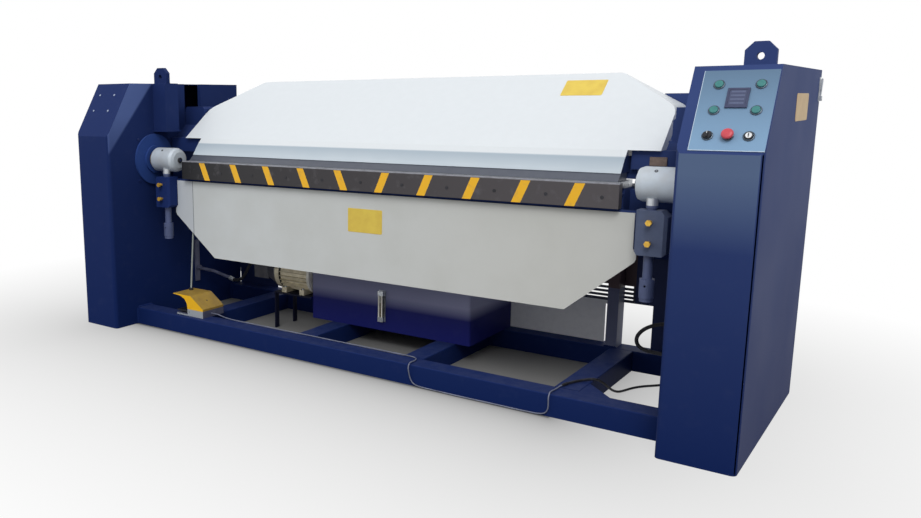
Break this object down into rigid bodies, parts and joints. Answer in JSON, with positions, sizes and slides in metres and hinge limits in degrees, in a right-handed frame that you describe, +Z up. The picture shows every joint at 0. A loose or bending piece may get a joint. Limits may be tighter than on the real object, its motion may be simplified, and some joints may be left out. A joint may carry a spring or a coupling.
{
  "type": "hydraulic sheet metal folding machine",
  "caption": "Floor-standing hydraulic sheet metal bender with two cabinets, a lifting clamp beam, a swinging folding beam, a power pack and a foot pedal.",
  "frame": {"origin": "on the floor under the middle of the machine", "axes": "+X along the machine to the operator's right, +Y from the operator to the back, +Z up"},
  "size_m": [3.644, 1.11, 1.53],
  "materials": {
    "navy_enamel": "semi-gloss hammered enamel",
    "white_enamel": "semi-gloss enamel",
    "apron_grey": "satin enamel",
    "nose_grey": "satin enamel",
    "blade_steel": "ground, dark",
    "bright_steel": "machined",
    "gear_steel": "oiled",
    "bronze": "machined",
    "bolt_zinc": "yellow passivated",
    "cast_aluminium": "as cast",
    "motor_cowl_paint": "satin",
    "guard_grey": "matt",
    "panel_blue": "satin",
    "button_green": "gloss",
    "stop_red": "gloss",
    "black_plastic": "matt",
    "pedal_yellow": "semi-gloss",
    "pedal_grey": "semi-gloss",
    "black_rubber": "matt",
    "grey_cable": "satin"
  },
  "bodies": {
    "frame": {"side_plates": "navy_enamel", "cabinet_covers": "navy_enamel", "door_hardware": "bright_steel", "lifting_lugs": "navy_enamel", "base_rails": "navy_enamel", "base_cross_members": "navy_enamel", "hydraulic_cylinders": "navy_enamel", "pivot_flanges": "navy_enamel", "pivot_bushes": "bronze", "clamp_housings": "navy_enamel", "lower_beam": "navy_enamel", "lower_blade": "bright_steel", "rear_guard": "guard_grey", "rear_panel": "guard_grey", "oil_tank": "navy_enamel", "tank_lid": "navy_enamel", "level_gauge": "bright_steel", "motor_body": "cast_aluminium", "motor_fan_cowl": "motor_cowl_paint", "pump_unit": "cast_aluminium", "control_panel": "panel_blue", "display_unit": "black_plastic", "cabinet_screws": "bright_steel", "pedal_base": "pedal_grey", "pedal_hood": "pedal_yellow", "pedal_rod": "bright_steel", "plate_fittings": "bright_steel", "pump_hose": "black_rubber", "loop_hose": "black_rubber", "cabinet_conduit": "black_rubber", "pedal_cable": "grey_cable"},
    "folding_beam": {"folding_blade": "blade_steel", "blade_screws": "black_plastic", "apron": "apron_grey", "folding_core": "navy_enamel", "trunnion_bosses": "bright_steel", "adjusting_blocks": "navy_enamel", "block_bolts": "bolt_zinc", "spindles": "bright_steel", "drive_pinions": "gear_steel"},
    "upper_beam": {"upper_beam_skin": "white_enamel", "upper_beam_frame": "white_enamel", "upper_beam_nose": "nose_grey", "clamp_blade": "blade_steel", "guide_arms": "navy_enamel", "clamp_rams": "bright_steel"},
    "right_rack": {"right_drive_rack": "gear_steel"},
    "left_rack": {"left_drive_rack": "gear_steel"},
    "right_door": {"right_cabinet_door": "navy_enamel"},
    "left_door": {"left_cabinet_door": "navy_enamel"},
    "right_latch": {"right_latch_lever": "bright_steel"},
    "left_latch": {"left_latch_lever": "bright_steel"},
    "button_1": {"top_left_button": "button_green"},
    "button_2": {"top_right_button": "button_green"},
    "button_3": {"low_left_button": "button_green"},
    "button_4": {"low_right_button": "button_green"},
    "stop_button": {"emergency_stop": "stop_red"},
    "selector": {"mode_selector": "black_plastic"},
    "key": {"key_switch": "black_plastic"},
    "treadle": {"pedal_treadle": "black_plastic"}
  },
  "joints": [
    {"name": "upper_beam_lift", "type": "slide", "parent": "frame", "child": "upper_beam", "axis": [0, 0, 1], "range_m": [0, 0.15]},
    {"name": "folding_beam_swing", "type": "hinge", "parent": "frame", "child": "folding_beam", "pos_m": [0, -0.209, 0.985], "axis": [-1, 0, 0], "range_deg": [0, 135]},
    {"name": "right_rack_travel", "type": "slide", "parent": "frame", "child": "right_rack", "axis": [0, 0, 1], "range_m": [0, 0.189]},
    {"name": "left_rack_travel", "type": "slide", "parent": "frame", "child": "left_rack", "axis": [0, 0, 1], "range_m": [0, 0.189]},
    {"name": "right_door_swing", "type": "hinge", "parent": "frame", "child": "right_door", "pos_m": [1.534, 0.549, 0.7], "axis": [0, 0, 1], "range_deg": [0, 100]},
    {"name": "left_door_swing", "type": "hinge", "parent": "frame", "child": "left_door", "pos_m": [-1.534, 0.549, 0.7], "axis": [0, 0, -1], "range_deg": [0, 100]},
    {"name": "right_latch_turn", "type": "hinge", "parent": "frame", "child": "right_latch", "pos_m": [1.817, 0.52, 1.312], "axis": [0, 1, 0], "range_deg": [0, 100]},
    {"name": "left_latch_turn", "type": "hinge", "parent": "frame", "child": "left_latch", "pos_m": [-1.817, 0.52, 1.312], "axis": [0, -1, 0], "range_deg": [0, 100]},
    {"name": "button_1_press", "type": "slide", "parent": "frame", "child": "button_1", "axis": [0, 0.8575, -0.5145], "range_m": [0, 0.003], "stiffness_N_per_m": 1000, "springref_m": -0.001},
    {"name": "button_2_press", "type": "slide", "parent": "frame", "child": "button_2", "axis": [0, 0.8575, -0.5145], "range_m": [0, 0.003], "stiffness_N_per_m": 1000, "springref_m": -0.001},
    {"name": "button_3_press", "type": "slide", "parent": "frame", "child": "button_3", "axis": [0, 0.8575, -0.5145], "range_m": [0, 0.003], "stiffness_N_per_m": 1000, "springref_m": -0.001},
    {"name": "button_4_press", "type": "slide", "parent": "frame", "child": "button_4", "axis": [0, 0.8575, -0.5145], "range_m": [0, 0.003], "stiffness_N_per_m": 1000, "springref_m": -0.001},
    {"name": "stop_press", "type": "slide", "parent": "frame", "child": "stop_button", "axis": [0, 0.8575, -0.5145], "range_m": [0, 0.003], "stiffness_N_per_m": 1000, "springref_m": -0.001},
    {"name": "selector_turn", "type": "hinge", "parent": "frame", "child": "selector", "pos_m": [1.622, -0.5195, 1.18917], "axis": [0, -0.8575, 0.5145], "range_deg": [-45, 45]},
    {"name": "key_turn", "type": "hinge", "parent": "frame", "child": "key", "pos_m": [1.751, -0.5195, 1.18917], "axis": [0, -0.8575, 0.5145], "range_deg": [-90, 0]},
    {"name": "treadle_press", "type": "hinge", "parent": "frame", "child": "treadle", "pos_m": [-1.12, -0.2645, 0.124], "axis": [0, -1, 0], "range_deg": [0, 5], "stiffness_Nm_per_rad": 5, "springref_deg": -17.19}
  ],
  "couplings": [
    {"joint": "right_rack_travel", "follows": "folding_beam_swing", "m_per_rad": 0.08},
    {"joint": "left_rack_travel", "follows": "folding_beam_swing", "m_per_rad": 0.08}
  ]
}
